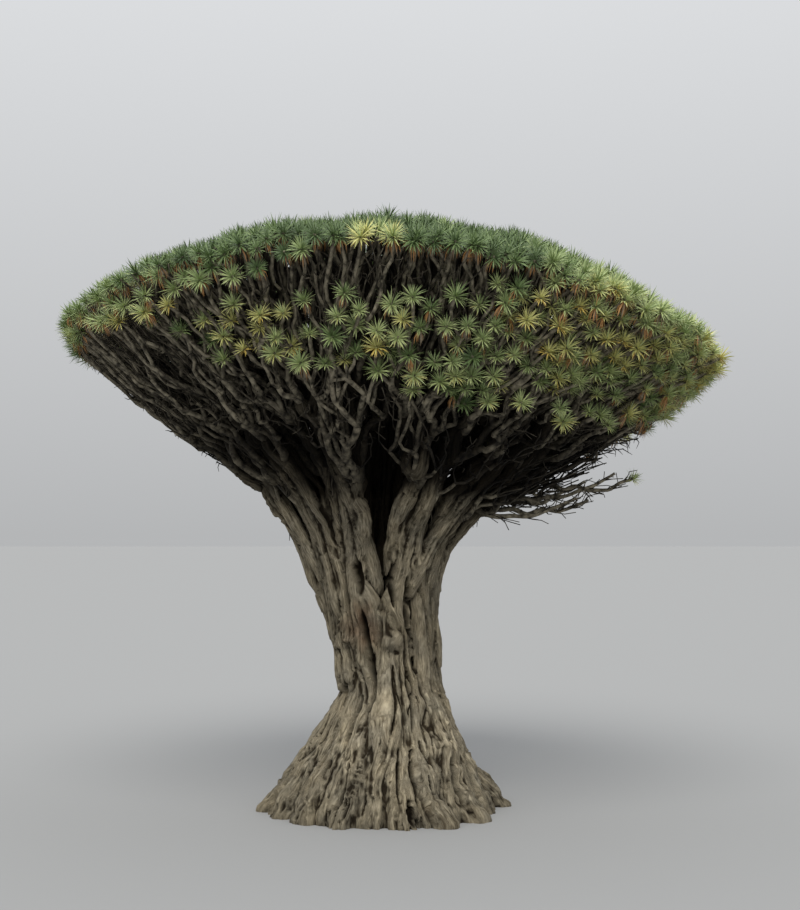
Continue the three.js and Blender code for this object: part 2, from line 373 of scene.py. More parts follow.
class Bough:
    """A bough's middle line and radius, from its foot in the trunk to its end in the crown."""

    def __init__(self, name, bearing, bend, reach, height, foot, tip, offset, bend_height):
        self.name, self.bearing, self.foot, self.tip = name, bearing, foot, tip
        start = polar(offset, bearing, FOOT_HEIGHT) + np.array([FOOT_SHIFT, 0, 0])
        self.knots = (start, polar(bend, bearing, bend_height), polar(reach, bearing, height))
        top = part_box("bough_" + name)[1].z
        t = np.linspace(0, 1, 101)
        self.enters = float(np.interp(top - 0.25, self.at(t)[:, 2], t))

    def at(self, t):
        return bezier(self.knots, t)

    def tangent(self, t):
        t = np.atleast_1d(t)[:, None]
        a, b, c = self.knots
        return unit(2 * (1 - t) * (b - a) + 2 * t * (c - b))

    def radius(self, t):
        return self.foot + (self.tip - self.foot) * np.clip(t, 0, 1)

    def sides(self, t):
        """Two directions square to the bough: towards its outer, lower side, and across it."""
        along = self.tangent(t)
        across = unit(np.cross(along, polar(1.0, self.bearing, 0.0)))
        return unit(np.cross(across, along)), across

    def beside(self, t, turn, share):
        """Places beside the middle line: turn is 0 on the outer side, and share is of the radius."""
        return self.at(t) + turned(*self.sides(t), turn) * (share * self.radius(t))[:, None]


outer = [Bough(*row, OUTER_FOOT_OFFSET, OUTER_BEND_HEIGHT) for row in OUTER_BOUGHS]
inner = [Bough(*row, INNER_FOOT_OFFSET, INNER_BEND_HEIGHT) for row in INNER_BOUGHS]


# Stems: the trunk is a ring of them, grown together round a core
STEMS = 24
STEM_RADIUS = 0.2
ROOT_LOBES = 34
ROOT_STRANDS = 96
CROSSING_STEMS = 26
LOOSE_STRANDS = 7
CORE_SHARE = 0.78
CORE_TOP = 7.0
BOUGH_CORE_SHARE = 0.25
# Between these bearings the stems end over the flare
HANGING_STEMS = (186, 228)
HANGING_HEIGHT = 3.3
# How far the roots run on below the ground, where the wood is cut flat
GROUND_DEPTH = 0.3
# Broad buttresses: bearing, height, width at the ground and how far the toe reaches out
BUTTRESSES = (
    (299, 4.4, 0.36, 0.25),
    (324, 3.4, 0.42, 0.3),
    (345, 2.4, 0.34, 0.1),
    (249, 2.4, 0.32, 0.2),
    (228, 3.6, 0.38, 0.2),
    (205, 3.0, 0.36, 0.0),
    (160, 3.2, 0.4, 0.2),
    (128, 3.9, 0.42, 0.3),
    (75, 3.4, 0.38, 0.2),
    (28, 3.8, 0.42, 0.3),
)


def add_cores(wood):
    z = np.linspace(-GROUND_DEPTH, CORE_TOP, 34)
    rounded = 1 - 0.75 * smooth(z, FORK_HEIGHT - 0.6, CORE_TOP)
    wood.add(on_trunk(0 * z, 0, z), (trunk_radius(z) * CORE_SHARE - 0.05) * rounded, 48)
    for bough in outer + inner:
        t = np.linspace(0, bough.enters, 16)
        root = bough.at(0)[0] - polar(0.35, bough.bearing, 1.6)
        path = resampled(np.vstack([root, bough.at(t)]), 0.25)
        wood.add(path, bough.radius(np.linspace(0, bough.enters, len(path))) * BOUGH_CORE_SHARE, 12)


def add_stem(wood, bearing, bough, number):
    """One stem, from the ground up the trunk's side and on along the outer side of the bough above it."""
    hangs = HANGING_STEMS[0] < bearing % 360 < HANGING_STEMS[1]
    lowest = HANGING_HEIGHT + rng.uniform(-0.15, 0.35) if hangs else -GROUND_DEPTH
    z = np.arange(lowest, FOOT_HEIGHT - 0.1, 0.2)
    width = STEM_RADIUS * rng.uniform(0.85, 1.3) * (1 + 0.3 * waver(z, number, 0.8, 3))
    width = width * (1 + 0.6 * smooth(FLARE_HEIGHT - z, 0.2, FLARE_HEIGHT))
    width = width * (0.45 + 0.55 * smooth(z, lowest, lowest + 0.35))
    proud = 0.16 * smooth(4.6 - z, 0, 0.9) if hangs else rng.uniform(-0.05, 0.06)
    reach = trunk_radius(z) - 0.75 * width + 0.07 * waver(z, number, 1.0, 2) + proud
    low = on_trunk(reach, bearing + 6 * waver(z, number, 1.4, 1), z)
    t = np.linspace(0.08, bough.enters, 12)
    turn = math.radians(1.6 * gap_between(bearing, bough.bearing)) + rng.uniform(-0.7, 0.7) * (t - t[0])
    high = bough.beside(t, turn, 0.78 + 0.2 * waver(6 * t, number, 1.0, 4))
    radii = np.concatenate([width, 0.29 * bough.radius(t) * rng.uniform(0.75, 1.25)])
    wood.add_along(np.vstack([low, high]), radii, 0.2, 10, 0.6)


def add_stems(wood):
    for i in range(STEMS):
        bearing = (i + rng.uniform(-0.3, 0.3)) * 360 / STEMS
        nearest = min(outer, key=lambda b: abs(gap_between(bearing, b.bearing)))
        add_stem(wood, bearing, nearest, i)


def lobe_swell(bearing, z):
    """How far the flare's lobes stand out: broad ones, that fade up the trunk."""
    angle = np.radians(bearing)
    place = np.stack(np.broadcast_arrays(2.2 * np.cos(angle), 2.2 * np.sin(angle), 0.35 * z), axis=-1)
    return 0.24 * noise(place, 0.75, 18) * smooth(FLARE_HEIGHT + 0.4 - z, 0, 2.2)


def add_root(wood, number, bearing, top, least, most, toe):
    """One root, from a toe on the ground up the flare to its top, where it sinks in."""
    z = np.linspace(-GROUND_DEPTH, top, int(8 + 6 * top))
    bearing = bearing + rng.uniform(-7, 7) * z / top + 2.5 * waver(z, number, 0.6, 5)
    share = 1 - np.clip(z, 0, top) / top
    width = least + (most - least) * share**0.7
    width = width * (1 + 0.3 * waver(z, number, 0.3, 8))
    reach = trunk_radius(z) + lobe_swell(bearing, z) - 0.25 * width + 0.06 * waver(z, number, 0.5, 9)
    reach = reach - 0.25 * smooth(z, top - 0.35, top) + toe * smooth(0.8 - z, 0, 0.8)
    wood.add_along(on_trunk(reach, bearing, z), width, 0.14, 9)


def add_roots(wood):
    """Lobes down the flare, finer strands over them and broad buttresses."""
    for i in range(ROOT_LOBES):
        bearing = (i + rng.uniform(-0.45, 0.45)) * 360 / ROOT_LOBES
        toe = rng.uniform(0, 0.26) if i % 3 == 0 else 0
        add_root(wood, i, bearing, rng.uniform(1.8, 3.8), 0.1, rng.uniform(0.2, 0.3), toe)
    for i in range(ROOT_STRANDS):
        bearing = (i + rng.uniform(-0.5, 0.5)) * 360 / ROOT_STRANDS
        sunk = rng.uniform(-0.2, 0.02)
        add_root(wood, i + 100, bearing, rng.uniform(0.5, 4.6), 0.05, rng.uniform(0.08, 0.14), sunk)
    for i, (bearing, top, width, toe) in enumerate(BUTTRESSES):
        add_root(wood, i + 60, bearing, top, 0.15, width, toe)


def room_aside(turn):
    """How far a strand may stray from its bough: little on the outer side, which is the outline."""
    return 1 - 0.85 * np.maximum(np.cos(turn), 0)


def add_loose_strands(wood):
    """Thin strands that leave the trunk beside each bough, wander up it and join its end."""
    for number, bough in enumerate(outer * LOOSE_STRANDS):
        first, last = rng.uniform(-0.1, 0.35), rng.uniform(0.75, 1.05)
        t = np.linspace(first, last, 16) * bough.enters
        s = np.linspace(0, 1, 16)
        turn = rng.uniform(-2.3, 2.3) + rng.uniform(-1.2, 1.2) * s
        turn = turn + 0.4 * waver(5 * s, number, 1.0, 19)
        proud = rng.uniform(0.2, 1.1) * np.sin(math.pi * s) * room_aside(turn)
        share = 0.75 + proud + 0.15 * waver(6 * s, number, 1.0, 24)
        width = rng.uniform(0.055, 0.11) * (1 + 0.25 * waver(8 * s, number, 1.0, 25))
        wood.add_along(bough.beside(t, turn, share), width, 0.13, 8)


def add_crossing_stems(wood):
    """Thinner strands that wander over the trunk and join its stems."""
    for i in range(CROSSING_STEMS):
        low = rng.uniform(2.6, 5.6)
        z = np.arange(low, low + rng.uniform(1.2, 3.2), 0.2)
        lean = rng.uniform(-14, 14) * (z - low) / 2 + 5 * waver(z, i, 0.7, 15)
        bearing = rng.uniform(0, 360) + lean
        width = rng.uniform(0.07, 0.13) * (1 + 0.3 * waver(z, i, 0.35, 16))
        sunk = 0.3 * (1 - smooth(z, low, low + 0.3) * smooth(z[-1] - z, 0, 0.3))
        wood.add_along(on_trunk(trunk_radius(z) - 0.25 * width - sunk, bearing, z), width, 0.14, 8)


# Single strands, each bend as x, y, z and radius: the smooth wedge on the front, the burl over it of two that
# cross, the knob on a bough and one that hangs on the right. Then each one's step, sides and share of relief
WEDGE = (
    (0.15, -1.2, 4.7, 0.25), (0.13, -1.3, 4.2, 0.28), (0.1, -1.45, 3.5, 0.35),
    (0.05, -1.65, 2.8, 0.45), (0.0, -1.85, 2.1, 0.44), (0.0, -2.0, 1.4, 0.3),
)
BURL = (
    (0.02, -1.22, 4.58, 0.14), (0.14, -1.38, 4.72, 0.3),
    (0.28, -1.4, 4.84, 0.28), (0.42, -1.26, 5.0, 0.14),
)
BOSS = (
    (0.36, -1.24, 4.52, 0.12), (0.28, -1.36, 4.68, 0.25),
    (0.14, -1.36, 4.98, 0.24), (0.08, -1.2, 5.2, 0.13),
)
KNOB = (
    (-0.8, -1.6, 8.05, 0.14), (-0.87, -1.95, 8.35, 0.26),
    (-0.9, -2.0, 8.6, 0.24), (-0.95, -1.8, 8.95, 0.12),
)
HANGING = (
    (1.2, -0.5, 6.2, 0.12), (1.38, -0.45, 5.4, 0.13),
    (1.5, -0.42, 4.6, 0.11), (1.56, -0.42, 3.95, 0.05),
)
DETAILS = (
    (WEDGE, 0.12, 14, 0.35),
    (BURL, 0.08, 12, 0.5),
    (BOSS, 0.08, 12, 0.5),
    (KNOB, 0.08, 12, 0.6),
    (HANGING, 0.12, 8, 1.0),
)


def add_details(wood):
    for rows, step, sides, rough in DETAILS:
        bends = np.array(rows)
        wood.add_along(bends[:, :3], bends[:, 3], step, sides, rough)


# Where the rosettes and the bare twigs stand
LEAF_LENGTH = 0.34
DOME_SPACING = 0.385
RIM_SPACING = 0.43
SKIRT_SPACING = 0.4
TWIG_SPACING = 0.4
INSIDE_SPACING = 0.8
INNER_GOALS_REACH = 3.7
# How far the rim's rosettes reach down, for each bearing
RIM_BEARINGS = (0, 90, 180, 205, 226, 240, 252, 263, 280, 300, 330, 360)
RIM_DROPS = (0.6, 0.65, 0.7, 0.85, 1.15, 0.95, 0.6, 0.1, 0.1, 0.35, 0.5, 0.6)
# How leafy the crown's underside is, and how far down its leaves reach, for each bearing
LEAFY_BEARINGS = (0, 25, 60, 95, 130, 150, 175, 200, 224, 232, 250, 275, 292, 315, 345, 360)
LEAFINESS = (1.2, 0.9, 0.7, 0.6, 0.5, 0.4, 0.5, 1.0, 0.85, 0.65, 0.7, 0.75, 0.95, 1.2, 1.25, 1.2)
LEAFY_FROM = (0.66, 0.54, 0.45, 0.45, 0.55, 0.8, 0.9, 0.86, 0.75, 0.56, 0.5, 0.42, 0.37, 0.42, 0.57, 0.66)


def spread_out(points, spacing):
    """The places of points, taken in turn, that lie at least their spacing from all those taken before."""
    kept = np.full((len(points), 3), 1e6)
    chosen = []
    for i, (p, s) in enumerate(zip(points, np.broadcast_to(spacing, (len(points),)))):
        near = kept[: len(chosen)] - p
        if not chosen or (near * near).sum(1).min() > s * s:
            kept[len(chosen)] = p
            chosen.append(i)
    return np.array(chosen)


def picked(points, axes, spacing, scatter):
    """The points that stand apart, and their axes, each a little astray."""
    chosen = spread_out(points, spacing)
    return points[chosen], unit(axes[chosen] + jitter(len(chosen), scatter))


def dome_goals():
    count = 20000
    bearing = rng.uniform(0, 360, count)
    share = np.sqrt(rng.uniform(0, 1, count))
    reach = share * (around(RIM_REACH, bearing) - 0.38)
    points = polar(reach, bearing, dome_height(reach, bearing) - 0.32)
    points[:, 2] += 0.18 * noise(points, 1.2, 20) + 0.04 * rng.standard_normal(count)
    axes = polar(0.6 * share**2 + 0.05, bearing, 0.8)
    return picked(points, axes, DOME_SPACING * (1 - 0.1 * smooth(share, 0.72, 0.9)), 0.13)


def rim_goals():
    count = 5000
    bearing = rng.uniform(0, 360, count)
    drop = rng.uniform(0, 1, count) * np.interp(bearing, RIM_BEARINGS, RIM_DROPS)
    reach = around(RIM_REACH, bearing) - 0.36 - 0.3 * drop
    points = polar(reach, bearing, dome_height(reach, bearing) - 0.31 - drop)
    return picked(points, polar(0.8, bearing, 0.65 - 0.25 * drop), RIM_SPACING, 0.14)


def bowl_places(count, least, most):
    """Places on the bowl's outer face: bearing, share of the way up, the point and the inward direction."""
    bearing = rng.uniform(0, 360, count)
    share = rng.uniform(least, most, count)
    reach = BOWL_INNER_REACH + share * (around(RIM_REACH, bearing) - BOWL_INNER_REACH)
    height = bowl_height(reach, bearing)
    slope = (bowl_height(reach + 0.05, bearing) - height) / 0.05
    return bearing, share, polar(reach, bearing, height), unit(polar(-slope, bearing, 1.0))


def leafiness(bearing, share):
    low = np.interp(bearing, LEAFY_BEARINGS, LEAFY_FROM)
    aside = np.abs(bearing - 250)
    dark_from = 0.76 + 0.1 * smooth(aside, 22, 45)
    dark_band = smooth(share, dark_from, dark_from + 0.04) * smooth(aside, 60, 45)
    leafy = np.interp(bearing, LEAFY_BEARINGS, LEAFINESS) * smooth(share, low, low + 0.08)
    return leafy * (1 - 0.9 * dark_band)


def skirt_goals():
    bearing, share, points, inward = bowl_places(14000, 0.3, 0.97)
    leafy = leafiness(bearing, share) * (1 + 0.85 * noise(points, 1.1, 22))
    points = points + inward * (0.35 * rng.uniform(0, 1, len(points)) ** 2 - 0.1)[:, None]
    wanted = leafy > 0.12
    axes = polar(0.66, bearing[wanted], 0.74)
    return picked(points[wanted], axes, SKIRT_SPACING / np.sqrt(leafy[wanted]), 0.2)


def twig_goals():
    bearing, share, points, inward = bowl_places(9000, 0.13, 0.97)
    points = points + inward * rng.uniform(-0.12, 0.45, len(points))[:, None]
    wider = 0.7 * leafiness(bearing, share) + 0.7 * smooth(0.4 - share, 0, 0.3)
    return picked(points, polar(0.8, bearing, 0.6), TWIG_SPACING * (1 + wider), 0.3)


def inside_goals():
    bearing, _, points, _ = bowl_places(3000, 0.1, 0.95)
    room = dome_height(np.hypot(points[:, 0], points[:, 1]), bearing) - points[:, 2]
    points[:, 2] += room * rng.uniform(0.25, 0.8, len(points))
    return picked(points, polar(0.2, bearing, 1.0), INSIDE_SPACING, 0.3)


# Branches
TIP_RADIUS = 0.05
TWIG_RADIUS = 0.02
BARE_WEIGHT = 0.35
LIMB_LEAST = 13
OUTER_STRANDS = 7
INNER_STRANDS = 6
OUTLINE_MARGIN = 0.15
STUBS = 2
STUBS_ABOVE = 9.8


def branch_radius(count):
    return TIP_RADIUS * count**0.37


class Growth:
    """Branches that fork from the ends of the boughs until each goal has its own."""

    def __init__(self, wood, points, axes, leafy):
        self.points, self.axes, self.leafy = points, axes, leafy
        self.weights = np.where(leafy, 1.0, BARE_WEIGHT)
        self.wood, self.branches, self.twigs, self.dead = wood, Tubes(), Tubes(), Tubes()

    def draw(self, start, heading, end, ending, first, last, count, kept_in=True):
        """One length between two forks, swollen where it leaves the first."""
        length = np.linalg.norm(end - start)
        step = 0.13 if count >= LIMB_LEAST else 0.18 if count > 2 else 0.3
        rings = max(int(math.ceil(length / step)) + 1, 3)
        t = np.linspace(0, 1, rings)[:, None]
        a, b = heading * length, ending * length * 0.8
        path = (2 * t**3 - 3 * t**2 + 1) * start + (t**3 - 2 * t**2 + t) * a
        path = path + (3 * t**2 - 2 * t**3) * end + (t**3 - t**2) * b
        bulge = np.sin(math.pi * t)
        path = path + waves(path, 0.38 + 2.5 * last, 40) * (0.15 + 0.5 * last) * bulge
        if kept_in:
            outside = np.maximum(OUTLINE_MARGIN - outline_gap(path), 0)[:, None] * bulge
            path = path - outside * unit(path * (1, 1, 0))
        along = t[:, 0] * length
        radii = last + (first - last) * (1 - smooth(along, 0, 3.5 * first))
        radii = radii * (1 + 0.12 * noise(path, 0.2, 41))
        if count >= LIMB_LEAST:
            tubes, sides = self.wood, 9
        elif count > 2:
            tubes, sides = self.branches, 6
        elif last >= TIP_RADIUS:
            tubes, sides = self.twigs, 4
        else:
            tubes, sides = self.dead, 4 if count > 1 else 3
        tubes.add(path, radii, sides)

    def grow(self, start, heading, radius, goals):
        if len(goals) == 1:
            self.finish(start, heading, radius, goals[0])
            return
        points = self.points[goals]
        middle = points.mean(0)
        way = middle - start
        length = np.linalg.norm(way)
        nearest = np.linalg.norm(points - start, axis=1).min()
        step = length / (math.log2(len(goals)) + 1.3) * rng.uniform(0.75, 1.2)
        step = max(min(step, 0.75 * nearest), 0.12)
        go = unit(0.5 * heading + 0.6 * way / length + 0.15 * rng.standard_normal(3))
        fork = start + step * go
        outside = max(OUTLINE_MARGIN - outline_gap(fork[None])[0], 0)
        fork = fork - outside * unit(fork * (1, 1, 0))
        wanted = unit(self.axes[goals].mean(0))
        ahead = unit(0.45 * go + 0.4 * unit(middle - fork) + 0.2 * wanted + 0.12 * rng.standard_normal(3))
        weight = self.weights[goals].sum()
        own = branch_radius(weight)
        self.draw(start, heading, fork, ahead, radius, own, weight)
        for group in self.parted(fork, goals):
            centre = self.points[group].mean(0)
            aside = centre - middle
            aside = unit(aside - (aside @ ahead) * ahead)
            turn = 0.8 if weight < 7 else 0.55 if weight < LIMB_LEAST else 0.38
            self.grow(fork, unit(0.5 * ahead + 0.3 * unit(centre - fork) + turn * aside), own * 0.93, group)

    def parted(self, fork, goals):
        """The goals in two groups, or sometimes three, by their direction from the fork."""
        if len(goals) == 2:
            return goals[:1], goals[1:]
        directions = unit(self.points[goals] - fork)
        spread = directions - directions.mean(0)
        _, _, axes = np.linalg.svd(spread, full_matrices=False)
        order = np.argsort(spread @ axes[0])
        if len(goals) > 5 and rng.uniform() < 0.22:
            first = int(len(goals) * rng.uniform(0.25, 0.4))
            second = int(len(goals) * rng.uniform(0.6, 0.75))
            return goals[order[:first]], goals[order[first:second]], goals[order[second:]]
        cut = int(round(len(goals) * rng.uniform(0.34, 0.66)))
        cut = min(max(cut, 1), len(goals) - 1)
        return goals[order[:cut]], goals[order[cut:]]

    def finish(self, start, heading, radius, goal):
        end, axis = self.points[goal], self.axes[goal]
        last = TIP_RADIUS if self.leafy[goal] else TWIG_RADIUS
        self.draw(start, heading, end, axis, min(radius, 2 * last), last, 1)
        for _ in range(0 if self.leafy[goal] or end[2] < STUBS_ABOVE else STUBS):
            self.add_stub(end + rng.uniform(0, 0.6) * (start - end), unit(end - start))

    def add_stub(self, place, along):
        """A short dead shoot."""
        way = unit(0.5 * along + 0.7 * rng.standard_normal(3) - (0, 0, 0.3))
        length = rng.uniform(0.15, 0.4)
        middle = place + 0.5 * length * way
        end = middle + 0.5 * length * unit(way + 0.5 * rng.standard_normal(3))
        self.dead.add([place, middle, end], (0.018, 0.013, 0.006), 3)

    def leaving(self, bough, goals):
        """Where along the bough its way points best at the middle of the goals."""
        t = np.linspace(0.58, 1.05, 12) * bough.enters
        way = unit(self.points[goals].mean(0) - bough.at(t))
        return t[(way * bough.tangent(t)).sum(1).argmax()]

    def strand(self, bough, goals, number):
        """A strand that runs beside a bough, then leaves it and grows on to its goals."""
        leaves = self.leaving(bough, goals)
        end, along = bough.at(leaves)[0], bough.tangent(leaves)[0]
        under, across = (side[0] for side in bough.sides(leaves))
        aside = unit(self.points[goals] - end).mean(0)
        aside = unit(aside - (aside @ along) * along)
        final = math.atan2(aside @ across, aside @ under)
        first = rng.uniform(-0.4, -0.15) if number % 2 else rng.uniform(0, 0.5) * leaves
        t = np.linspace(first, leaves, 18)
        turn = final + rng.uniform(-2.2, 2.2) * (t[-1] - t)
        tucked = 1 - 0.55 * np.maximum(np.cos(turn), 0) * smooth(t, 0.7, 0.35)
        share = 0.1 + 0.85 * smooth(t, first, first + 0.35) * tucked
        share = share + 0.25 * waver(7 * t, number, 1.0, 6)
        if number % 3 == 0:
            share = share + rng.uniform(0.4, 1.2) * smooth(t, first, first + 0.5) * room_aside(turn)
        points = bough.beside(t, turn, share)
        own = branch_radius(self.weights[goals].sum())
        radii = own * (1.3 - 0.3 * smooth(t, first, leaves)) * (1 + 0.2 * waver(9 * t, number, 1.0, 7))
        self.wood.add_along(points, radii, 0.15, 9)
        self.grow(points[-1], unit(unit(points[-1] - points[-2]) + 0.25 * aside), radii[-1], goals)


# Thin limbs under the crown on the right: their bends, and the last one bears a rosette
LOW_LIMBS = (
    ((2.4, -0.6, 8.5), (3.7, -1.0, 7.9), (5.3, -1.5, 8.7)),
    ((2.6, 0.4, 8.6), (4.2, 0.5, 8.0), (5.9, 0.7, 8.7)),
    ((3.0, -0.2, 8.9), (4.6, -0.9, 8.3), (6.4, -1.2, 9.4)),
    ((2.9, 1.0, 8.8), (4.3, 1.7, 8.3), (6.0, 2.3, 9.3)),
    ((4.0, 0.3, 9.5), (5.4, 0.25, 8.6), (7.1, 0.0, 9.3)),
)
LOW_LIMB_RINGS = 26
LOW_LIMB_SHOOTS = 20
HANGING_ROOTS = 70


def add_low_limbs(growth):
    """The thin limbs that reach out under the crown on the right, with bare shoots."""
    for knots in LOW_LIMBS:
        path = bezier(knots, np.linspace(0, 1, LOW_LIMB_RINGS))
        bulge = np.sin(np.linspace(0, math.pi, LOW_LIMB_RINGS))[:, None]
        path = path + 0.14 * waves(path, 0.45, 44) * bulge
        width = np.linspace(0.085, 0.04, LOW_LIMB_RINGS) * (1 + 0.2 * noise(path, 0.2, 41))
        growth.branches.add(path, width, 7)
        for _ in range(LOW_LIMB_SHOOTS):
            k = rng.integers(3, LOW_LIMB_RINGS - 1)
            along = unit(path[k + 1] - path[k])
            end = path[k] + 0.5 * along + (0.35, 0.5, 0.3) * rng.uniform(-1, 1, 3)
            first, last = unit(along + jitter(2, 0.5))
            growth.draw(path[k], first, end, last, 0.035, 0.014, 1, kept_in=False)
    growth.points = np.vstack([growth.points, path[-1]])
    growth.axes = np.vstack([growth.axes, unit(np.array((0.4, -0.3, 0.85)))])
    growth.leafy = np.append(growth.leafy, True)


def add_hanging_roots(growth):
    """Short dead roots that hang from the undersides of the boughs."""
    for _ in range(HANGING_ROOTS):
        bough = outer[rng.integers(len(outer))]
        t = bough.enters * rng.uniform(0.55, 1.12)
        start = bough.beside(np.array([t]), np.array([rng.uniform(-1.2, 1.2)]), 0.8)[0]
        length = rng.uniform(0.25, 0.75)
        z = np.linspace(0, length, 6)
        aside = [noise(np.stack([z, z + 9 * k + start[0], z], axis=1), 0.3, 45) for k in (0, 1)]
        path = start + np.stack([0.05 * aside[0], 0.05 * aside[1], -z], axis=1)
        growth.dead.add(path, np.linspace(0.022, 0.008, 6), 4)


def groups_of(points, start, count):
    """The points in a number of groups of like direction from the start."""
    directions = unit(points - start)
    centres = directions[rng.choice(len(points), count, replace=False)]
    for _ in range(12):
        nearest = (directions @ centres.T).argmax(1)
        groups = [directions[nearest == k] for k in range(count)]
        centres = unit(np.array([g.mean(0) if len(g) else c for g, c in zip(groups, centres)]))
    return [np.flatnonzero(nearest == k) for k in range(count) if (nearest == k).any()]


def grow_crown(wood):
    kinds = [dome_goals(), rim_goals(), skirt_goals(), twig_goals(), inside_goals()]
    points, axes = (np.concatenate([k[i] for k in kinds]) for i in range(2))
    leafy = np.arange(len(points)) < sum(len(k[0]) for k in kinds[:3])
    growth = Growth(wood, points, axes, leafy)
    x, y = points[:, 0] - FOOT_SHIFT, points[:, 1]
    bearing = np.degrees(np.arctan2(y, x)) + 5 * noise(points, 1.2, 30)
    middle = np.hypot(x, y) + 0.5 * noise(points, 1.0, 31) < INNER_GOALS_REACH
    for boughs, mine, strands in ((inner, middle, INNER_STRANDS), (outer, ~middle, OUTER_STRANDS)):
        gaps = np.abs([gap_between(bearing, b.bearing) for b in boughs])
        for k, bough in enumerate(boughs):
            goals = np.flatnonzero(mine & (gaps.argmin(0) == k))
            end = bough.at(bough.enters)[0]
            for number, group in enumerate(groups_of(points[goals], end, strands)):
                growth.strand(bough, goals[group], number)
    return growth


# The wood's surface
VOXEL = 0.038
WOOD_TRIANGLES = 350_000
GRAIN_RADIUS = 0.2
SPLIT_HEIGHTS = (0.0, 6.2, 9.4, 20.0)
# Dark crevices and caves: bearing, height, half the width, half the height, depth
HOLLOWS = (
    (252, 4.2, 0.12, 1.4, 0.48),
    (254, 6.6, 0.15, 0.5, 0.4),
    (300, 5.4, 0.12, 1.5, 0.48),
    (318, 5.9, 0.06, 1.0, 0.32),
    (238, 2.5, 0.06, 0.8, 0.28),
    (289, 1.2, 0.08, 0.7, 0.34),
    (318, 1.1, 0.11, 0.8, 0.42),
    (285, 0.3, 0.15, 0.4, 0.42),
    (221, 1.15, 0.09, 0.6, 0.36),
    (120, 0.5, 0.16, 0.5, 0.45),
    (75, 4.6, 0.1, 1.1, 0.4),
    (20, 5.4, 0.09, 0.9, 0.35),
    (287, 6.3, 0.08, 0.75, 0.42),
    (238, 6.0, 0.06, 0.9, 0.36),
    (332, 6.1, 0.06, 0.8, 0.34),
)
# Fissures and pits at random: how many, and the least and the most of the same five numbers
FISSURES = (46, (0, 0.6, 0.035, 0.5, 0.16), (360, 6.4, 0.07, 1.2, 0.34))
PITS = (70, (0, 0.1, 0.03, 0.06, 0.08), (360, 3.2, 0.055, 0.34, 0.2))
# Where the wood is bare and reddish: the place and how far it reaches
DECAYED = ((-0.65, -1.3, 5.2, 0.75), (-0.88, -1.75, 8.5, 0.5), (0.6, 1.4, 4.4, 0.7))


def random_hollows(count, least, most):
    return rng.uniform(least, most, (count, len(least)))


def grain_places(points, lines):
    """For each point, a place with Z along its strand, and the strand's radius and share of relief."""
    path, tangents, side, other, radii, rough = (np.concatenate(column) for column in zip(*lines))
    along = np.concatenate([lengths_along(line[0]) + 5.7 * k for k, line in enumerate(lines)])
    tree = KDTree(len(path))
    for i, p in enumerate(path):
        tree.insert(p, i)
    tree.balance()
    nearest = np.array([tree.find(p)[1] for p in points])
    offset = points - path[nearest]
    angle = np.arctan2((offset * other[nearest]).sum(1), (offset * side[nearest]).sum(1))
    forward = along[nearest] + (offset * tangents[nearest]).sum(1)
    places = np.stack([GRAIN_RADIUS * np.cos(angle), GRAIN_RADIUS * np.sin(angle), forward], axis=1)
    return places, radii[nearest], rough[nearest]


def carved(points, hollows):
    """How far each point is pressed towards the trunk's middle."""
    z, bearing, reach = from_trunk(points)
    depth = np.zeros(len(points))
    rough = 0.4 * noise(points, (0.12, 0.12, 0.5), 17)
    for middle, height, width, tall, deep in hollows:
        near = np.flatnonzero(np.abs(z - height) < 1.7 * tall)
        aside = np.radians(gap_between(bearing[near], middle)) * reach[near]
        aside = aside + 0.12 * waver(z[near], middle, 0.7, 27)
        off = np.hypot(aside / width, (z[near] - height) / tall) + rough[near]
        depth[near] = np.maximum(depth[near], deep * (1 - smooth(off, 0.5, 1.15)))
    return depth


def add_relief(mesh, lines):
    """Presses ridges, knobs, furrows and caves into the fused wood."""
    p = relaxed(places_of(mesh), edges_of(mesh), 2)
    set_places(mesh, p)
    n = normals_of(mesh)
    grain, radii, rough = grain_places(p, lines)
    size = np.clip(radii / 0.2, 0.35, 1) * rough
    foot = smooth(3.4 - p[:, 2], 0, 1.6)
    ridges = 1 - 2 * np.abs(noise(grain, (0.13, 0.13, 1.3), 11))
    fine = noise(grain, (0.07, 0.07, 0.4), 13)
    pits = smooth(noise(grain, (0.12, 0.12, 0.6), 14), 0.42, 0.75)
    knobs = noise(p, 0.3, 12)
    lumps = 1 - 2 * np.abs(noise(p, (0.16, 0.16, 0.24), 21))
    lumpy = (0.025 + 0.05 * foot) * knobs + 0.045 * foot * lumps
    push = size * (0.05 * ridges + 0.023 * fine - 0.05 * pits + lumpy)
    push = push + 0.015 * (1 - foot) * rough * noise(p, 0.13, 23)
    p = p + n * push[:, None]
    inward = np.stack([trunk_lean(p[:, 2]) - p[:, 0], -p[:, 1], 0 * p[:, 2]], axis=1)
    low = p[:, 2] < FORK_HEIGHT + 0.8
    hollows = (*HOLLOWS, *random_hollows(*FISSURES), *random_hollows(*PITS))
    p[low] += unit(inward[low]) * carved(p[low], hollows)[:, None]
    set_places(mesh, p)


def part_between(mesh, low, high):
    """The closed part of a mesh between two heights."""
    bm = bmesh.new()
    bm.from_mesh(mesh)
    for height, upward in ((low, 1), (high, -1)):
        cut = bmesh.ops.bisect_plane(
            bm,
            geom=bm.verts[:] + bm.edges[:] + bm.faces[:],
            plane_co=(0, 0, height),
            plane_no=(0, 0, upward),
            clear_inner=True,
        )
        rim = [e for e in cut["geom_cut"] if isinstance(e, bmesh.types.BMEdge)]
        bmesh.ops.edgenet_fill(bm, edges=rim)
        for edge in rim:
            edge.smooth = False
    bmesh.ops.triangulate(bm, faces=bm.faces[:])
    part = bpy.data.meshes.new("part")
    bm.to_mesh(part)
    bm.free()
    return part


